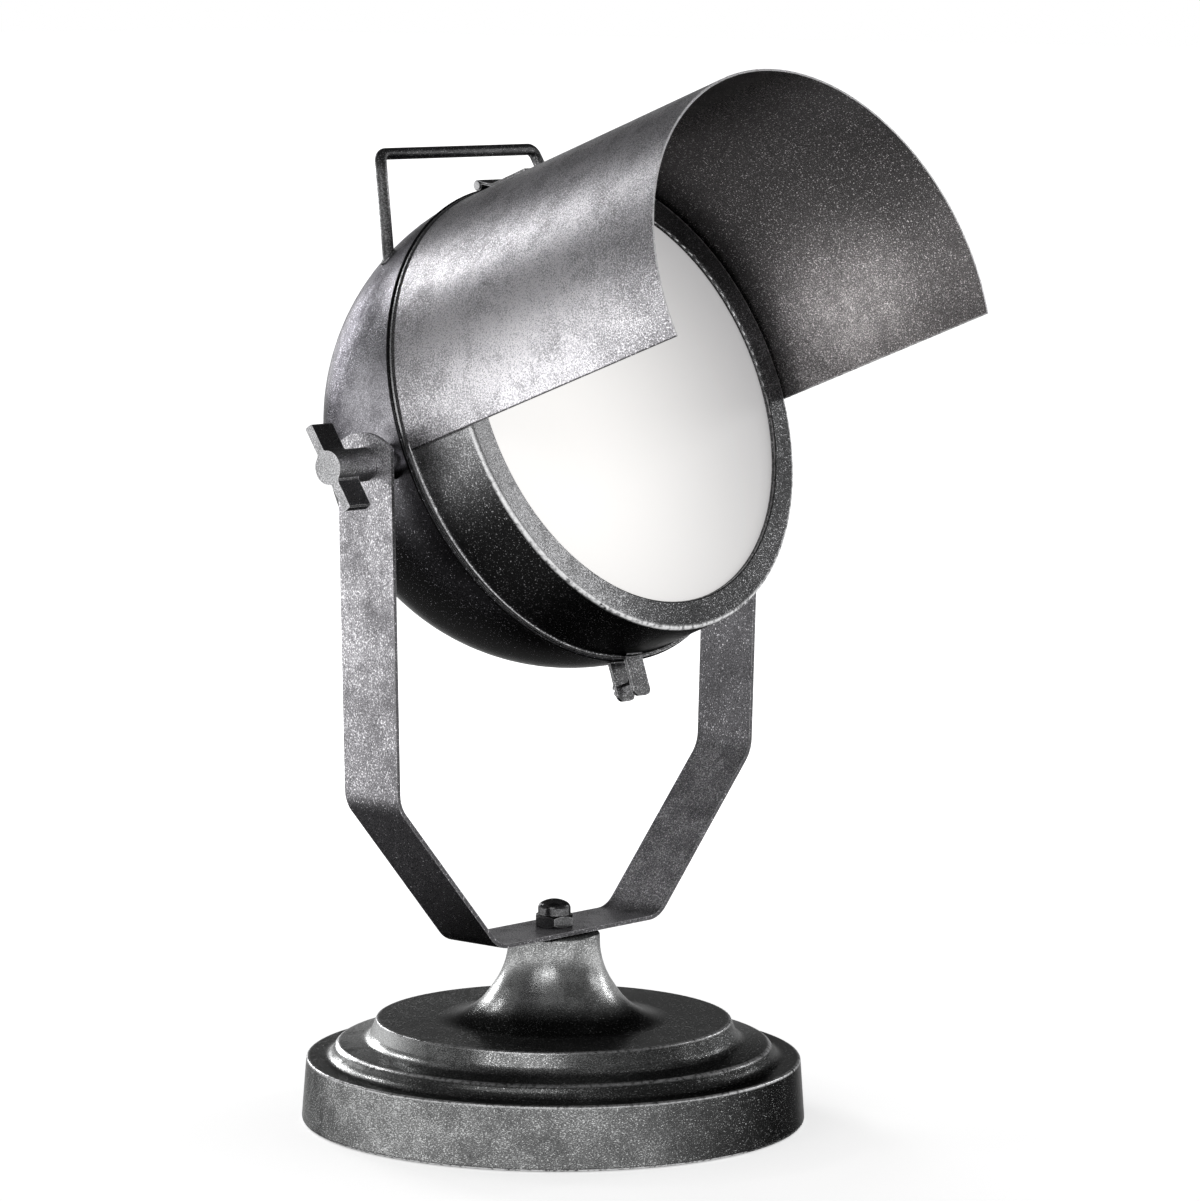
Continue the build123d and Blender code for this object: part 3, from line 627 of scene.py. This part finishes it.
HANDLE = antique_nickel(
    "handle_nickel", dark=0.08, light=0.2, silver=0.7, cover=0.6, wear_and_light=handle_grip_darker, seed=3.0
)
WING = antique_nickel(
    "wing_nickel",
    dark=0.2,
    light=0.42,
    silver=0.7,
    cover=0.7,
    under=0.2,
    wear_and_light=wing_painted_light,
    edge=0.9,
    seed=31.0,
)
CHROME = antique_nickel(
    "dark_chrome",
    dark=0.07,
    light=0.13,
    silver=0.3,
    cover=0.3,
    under=0.6,
    gloom=0.6,
    rough=0.24,
    relief=0.004,
    edge=0.5,
    seed=37.0,
)
STEEL = plain_metal("zinc_steel", (0.55, 0.55, 0.56, 1.0), rough=0.28)
IRON = moulded("primed_iron", (0.03, 0.03, 0.03, 1.0), 0.6)
ALUMINIUM = plain_metal("cap_aluminium", (0.8, 0.8, 0.8, 1.0), rough=0.25)
BRASS = plain_metal("contact_brass", (0.72, 0.52, 0.25, 1.0), rough=0.3)
BLACK_PLASTIC = moulded("black_plastic", (0.02, 0.02, 0.021, 1.0), 0.4)
RUBBER = moulded("gasket_rubber", (0.025, 0.025, 0.025, 1.0), 0.7)
FIBRE = moulded("washer_fibre", (0.10, 0.05, 0.035, 1.0), 0.7)
FELT = felt("felt_black", (0.02, 0.02, 0.022, 1.0))
PANE = frosted_glass("pane_frosted")
BULB = bulb_glass("bulb_opal")

FINISH = {
    "foot_shell": FOOT,
    "ballast_plate": IRON,
    "stud_washer": STEEL,
    "stud_nut": STEEL,
    "centre_stud": STEEL,
    "bottom_cover": STEEL,
    "felt_pad": FELT,
    "swivel_washer": FIBRE,
    "cap_nut": CHROME,
    "yoke": STRAP,
    "rear_shell": SHELL,
    "pivot_spacer_left": SHELL,
    "pivot_spacer_right": SHELL,
    "pivot_washer_left": FIBRE,
    "pivot_washer_right": FIBRE,
    "pivot_nut_left": STEEL,
    "pivot_nut_right": STEEL,
    "handle": HANDLE,
    "hinge_knuckle": SMALL,
    "hinge_pin": STEEL,
    "latch_tab_back": SMALL,
    "nipple": STEEL,
    "nipple_washer": STEEL,
    "nipple_locknut": STEEL,
    "lampholder": BLACK_PLASTIC,
    "holder_sleeve": ALUMINIUM,
    "holder_contact": BRASS,
    "bulb_cap": ALUMINIUM,
    "bulb_globe": BULB,
    "cord_grip": BLACK_PLASTIC,
    "lens_ring": RING,
    "lens_pane": PANE,
    "lens_gasket": RUBBER,
    "lens_clips": STEEL,
    "visor": VISOR,
    "hinge_leaf": SMALL,
    "hinge_rivets": STEEL,
    "latch_tab_front": SMALL,
    "latch_nut": STEEL,
    "latch_screw": STEEL,
    "wing_screw_left": WING,
    "wing_screw_right": WING,
}
for node_name, finish in FINISH.items():
    mesh = nodes[node_name].data
    mesh.materials.clear()
    mesh.materials.append(finish)


# ---------------------------------------------------------------- pieces of the scene's own
def swept(name, body, finish, path, outwards, radii, closed=False, sides=8):
    """A bead along a path of points, with a direction away from the metal and a radius at each."""
    corners, faces = [], []
    count = len(path)
    for index, point in enumerate(path):
        before = path[index - 1] if closed or index else point
        after = path[(index + 1) % count] if closed or index < count - 1 else point
        ahead = (after - before).normalized()
        aside = ahead.cross(outwards[index]).normalized()
        above = aside.cross(ahead)
        for side in range(sides):
            turn = 2 * pi * side / sides
            corners.append(point + (aside * cos(turn) + above * sin(turn)) * radii[index])
    for ring in range(count if closed else count - 1):
        here, there = ring * sides, (ring + 1) % count * sides
        for side in range(sides):
            beside = (side + 1) % sides
            faces.append((here + side, here + beside, there + beside, there + side))
    if not closed:
        faces.append(tuple(reversed(range(sides))))
        faces.append(tuple(range((count - 1) * sides, count * sides)))
    mesh = bpy.data.meshes.new(name)
    mesh.from_pydata(corners, [], faces)
    mesh.polygons.foreach_set("use_smooth", [True] * len(faces))
    mesh.materials.append(finish)
    thing = bpy.data.objects.new(name, mesh)
    bpy.context.scene.collection.objects.link(thing)
    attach(thing, body)


def on_head(x, y, z, turn=0.0):
    """A point given in the head's own millimetres: sideways, up and forward, turned about its axis."""
    turn = radians(turn)
    return HEAD_FRAME @ (Vector((x * cos(turn) - y * sin(turn), x * sin(turn) + y * cos(turn), z)) * MM)


def shell_radius_at(offset):
    """The shell's radius in a plane that lies offset from its middle, in millimetres."""
    return ((SHELL_RADIUS / MM) ** 2 - offset * offset) ** 0.5


def weld_bead(name, body, points, radius, ripples, closed=False):
    """A small weld: a bead that swells and narrows where each drop of metal has set."""
    outwards = [(point - HEAD_CENTRE).normalized() for point in points]
    parts = [index / len(points) for index in range(len(points))]
    radii = [radius * MM * (0.80 + 0.2 * abs(sin(pi * ripples * part))) for part in parts]
    swept(name, body, SMALL, points, outwards, radii, closed)


# The welds round the handle's feet, in the head's millimetres.
HANDLE_FOOT = 65.4
HANDLE_BACK = -22.0
HANDLE_BEAD_RADIUS = 3.0
HANDLE_BEAD_RISE = 0.2
HANDLE_WELD_RADIUS = 1.1
LOOP_STEPS = 64

for side_name, side in (("left", -1), ("right", 1)):
    loop = []
    for step in range(LOOP_STEPS):
        turn = 2 * pi * step / LOOP_STEPS
        x = side * HANDLE_FOOT + HANDLE_BEAD_RADIUS * cos(turn)
        z = HANDLE_BACK + HANDLE_BEAD_RADIUS * sin(turn)
        loop.append(on_head(x, ((SHELL_RADIUS / MM) ** 2 - x * x - z * z) ** 0.5 + HANDLE_BEAD_RISE, z))
    weld_bead("handle_weld_" + side_name, "head", loop, HANDLE_WELD_RADIUS, ripples=9, closed=True)

# The welds of the latch's tabs and of the hinge's knuckle: a turn in degrees, then millimetres along the head.
LATCH_TURN = -2.0
LATCH_HALF = 5.0
TAB_BACK_REAR = -9.0
TAB_BACK_FRONT = -7.5
TAB_FRONT_FACE = 2.5
TAB_GAP = 0.3
RING_WALL_RADIUS = 110.9
KNUCKLE_HALF = 4.2
KNUCKLE_REAR = -5.10
KNUCKLE_GAP = 0.2
REAR_WELD = TAB_BACK_REAR - TAB_GAP
INNER_WELD = TAB_BACK_FRONT + TAB_GAP
FRONT_WELD = TAB_FRONT_FACE + TAB_GAP
KNUCKLE_WELD = KNUCKLE_REAR - KNUCKLE_GAP
STRAIGHT_WELD_RADIUS = 0.8
HALF_STEPS = 12


def straight_weld(name, body, half, z, radius_at, turn=0.0):
    """A weld across the head's axis, low on it where radius_at is negative."""
    points = []
    for step in range(2 * HALF_STEPS + 1):
        x = half * (step / HALF_STEPS - 1)
        height = (radius_at * radius_at - x * x) ** 0.5
        points.append(on_head(x, height if radius_at > 0 else -height, z, turn))
    weld_bead(name, body, points, STRAIGHT_WELD_RADIUS, ripples=5)


straight_weld("latch_weld_rear", "head", LATCH_HALF, REAR_WELD, -shell_radius_at(TAB_BACK_REAR), LATCH_TURN)
straight_weld("latch_weld_inner", "head", LATCH_HALF, INNER_WELD, -shell_radius_at(TAB_BACK_FRONT), LATCH_TURN)
straight_weld("latch_weld_front", "lens_door", LATCH_HALF, FRONT_WELD, -RING_WALL_RADIUS, LATCH_TURN)
straight_weld("knuckle_weld", "head", KNUCKLE_HALF, KNUCKLE_WELD, shell_radius_at(KNUCKLE_REAR))

# The latch screw's thread, in the head's millimetres.
SCREW_DROP = 124.5
SCREW_RADIUS = 2.0
THREAD_PITCH = 0.7
THREAD_DEPTH = 0.14
THREAD_BACK = -7.3
THREAD_FRONT = 0.4
TURN_STEPS = 18

helix, radial = [], []
for step in range(int((THREAD_FRONT - THREAD_BACK) / THREAD_PITCH * TURN_STEPS)):
    turn = 2 * pi * step / TURN_STEPS
    z = THREAD_BACK + THREAD_PITCH * step / TURN_STEPS
    axis = on_head(0, -SCREW_DROP, z, LATCH_TURN)
    point = on_head(SCREW_RADIUS * cos(turn), -SCREW_DROP + SCREW_RADIUS * sin(turn), z, LATCH_TURN)
    helix.append(point)
    radial.append((point - axis).normalized())
swept("latch_screw_thread", "latch_screw", STEEL, helix, radial, [THREAD_DEPTH * MM] * len(helix), sides=4)


# ---------------------------------------------------------------- stage
FLOOR_HALF = 30.0
FLOOR_DROP = 0.2 * MM
SHADOW_REACH = 0.35
NEAR_GLOW = 0.6


def pale_floor(name):
    """Pale floor that camera, mirror and glass rays see white, with the object's shadow kept on it."""
    shader = Shader(name)
    rays = shader.tree.nodes.new("ShaderNodeLightPath").outputs
    seen = shader.math("MAXIMUM", rays["Is Camera Ray"], rays["Is Glossy Ray"])
    seen = shader.math("MAXIMUM", seen, rays["Is Transmission Ray"])
    distance = shader.vector("LENGTH", shader.position())
    far = shader.ramp(distance, SHADOW_REACH, 3 * SHADOW_REACH)
    glow = shader.math("ADD", shader.math("MULTIPLY", far, 1.0 - NEAR_GLOW), NEAR_GLOW)
    shader.set(
        Base_Color=(0.82, 0.82, 0.82, 1.0),
        Roughness=0.9,
        Specular_IOR_Level=0.0,
        Emission_Color=(1.0, 1.0, 1.0, 1.0),
        Emission_Strength=shader.math("MULTIPLY", seen, glow),
    )
    return shader.material


def surface(name, half, z, material):
    """A level square with its middle over the origin."""
    mesh = bpy.data.meshes.new(name)
    corners = [(-half, -half, z), (half, -half, z), (half, half, z), (-half, half, z)]
    mesh.from_pydata(corners, [], [(0, 1, 2, 3)])
    mesh.materials.append(material)
    thing = bpy.data.objects.new(name, mesh)
    bpy.context.scene.collection.objects.link(thing)


surface("floor", FLOOR_HALF, -FLOOR_DROP, pale_floor("floor_pale"))

ROOM_STRENGTH = 0.35
WALL_TOP, CEILING_FROM = 0.12, 0.26
WALL, CEILING = 1.0, 0.10


def studio_world():
    """White at eye level, with a dim ceiling for the metal to show, and an even room to light the object."""
    world = bpy.data.worlds.new("studio")
    bpy.context.scene.world = world
    world.use_nodes = True
    tree = world.node_tree
    tree.nodes.clear()
    rays = tree.nodes.new("ShaderNodeLightPath").outputs

    height = tree.nodes.new("ShaderNodeSeparateXYZ")
    tree.links.new(tree.nodes.new("ShaderNodeTexCoord").outputs["Generated"], height.inputs[0])
    ramp = tree.nodes.new("ShaderNodeMapRange")
    ramp.interpolation_type = "SMOOTHSTEP"
    tree.links.new(height.outputs["Z"], ramp.inputs["Value"])
    for socket, value in zip(ramp.inputs[1:5], (WALL_TOP, CEILING_FROM, WALL, CEILING)):
        socket.default_value = value

    seen_world = tree.nodes.new("ShaderNodeBackground")
    seen_world.inputs["Strength"].default_value = 1.0
    tree.links.new(ramp.outputs[0], seen_world.inputs["Color"])
    room = tree.nodes.new("ShaderNodeBackground")
    room.inputs["Color"].default_value = (1, 1, 1, 1)
    room.inputs["Strength"].default_value = ROOM_STRENGTH

    seen = rays["Is Camera Ray"]
    for other in ("Is Glossy Ray", "Is Transmission Ray"):
        either = tree.nodes.new("ShaderNodeMath")
        either.operation = "MAXIMUM"
        tree.links.new(seen, either.inputs[0])
        tree.links.new(rays[other], either.inputs[1])
        seen = either.outputs[0]
    mix = tree.nodes.new("ShaderNodeMixShader")
    for source, socket in zip((seen, room.outputs[0], seen_world.outputs[0]), mix.inputs):
        tree.links.new(source, socket)
    tree.links.new(mix.outputs[0], tree.nodes.new("ShaderNodeOutputWorld").inputs[0])


studio_world()

# ---------------------------------------------------------------- camera
CAMERA_PLACE = Vector((-1.83563, -1.60741, 0.52908))
CAMERA_RIGHT = Vector((0.65311517, -0.75723082, 0.00648514))
CAMERA_AHEAD = Vector((0.75253695, 0.64806423, -0.11705078))
FOCAL_PIXELS = 5353.5
FRAME_WIDTH = 1200
SENSOR_WIDTH = 36.0

camera_data = bpy.data.cameras.new("camera")
camera_data.sensor_fit = "HORIZONTAL"
camera_data.sensor_width = SENSOR_WIDTH
camera_data.lens = FOCAL_PIXELS / FRAME_WIDTH * SENSOR_WIDTH
camera_data.clip_end = 100.0
camera = bpy.data.objects.new("camera", camera_data)
bpy.context.scene.collection.objects.link(camera)
camera_up = CAMERA_RIGHT.cross(CAMERA_AHEAD).normalized()
camera_axes = Matrix((CAMERA_RIGHT.normalized(), camera_up, -CAMERA_AHEAD.normalized())).transposed()
camera.matrix_world = Matrix.Translation(CAMERA_PLACE) @ camera_axes.to_4x4()
bpy.context.scene.camera = camera


# ---------------------------------------------------------------- lamps
LOOK_AT = Vector((0, 0, 0.28))


def softbox(name, turn, rise, distance, width, height, radiance):
    """A soft area light. Its turn is to the right of straight behind the object, as the camera sees it.

    Turn and rise are in degrees, and distance, width and height in metres.
    """
    data = bpy.data.lights.new(name, "AREA")
    data.shape = "RECTANGLE"
    data.size = width
    data.size_y = height
    data.energy = radiance * pi * width * height
    lamp = bpy.data.objects.new(name, data)
    level_right = Vector((CAMERA_RIGHT.x, CAMERA_RIGHT.y, 0)).normalized()
    level_ahead = Vector((CAMERA_AHEAD.x, CAMERA_AHEAD.y, 0)).normalized()
    turn, rise = radians(turn), radians(rise)
    level = level_right * sin(turn) + level_ahead * cos(turn)
    lamp.location = LOOK_AT + (level * cos(rise) + Vector((0, 0, sin(rise)))) * distance
    lamp.rotation_mode = "QUATERNION"
    lamp.rotation_quaternion = (LOOK_AT - lamp.location).to_track_quat("-Z", "Y")
    bpy.context.scene.collection.objects.link(lamp)


# Name, turn, rise, distance, width, height and radiance.
softbox("left_strip", -51.0, 30.0, 1.9, 0.55, 0.16, 7.5)
softbox("left_back_rim", -31.0, 8.0, 1.8, 0.55, 0.5, 12.0)
softbox("front_left", -158.0, 24.0, 1.9, 1.7, 0.5, 1.8)
softbox("right", 77.0, 20.0, 2.0, 0.5, 0.5, 1.6)
softbox("right_back_strip", 55.0, 14.0, 2.0, 0.2, 0.5, 9.0)

bpy.context.scene.view_settings.view_transform = "Standard"
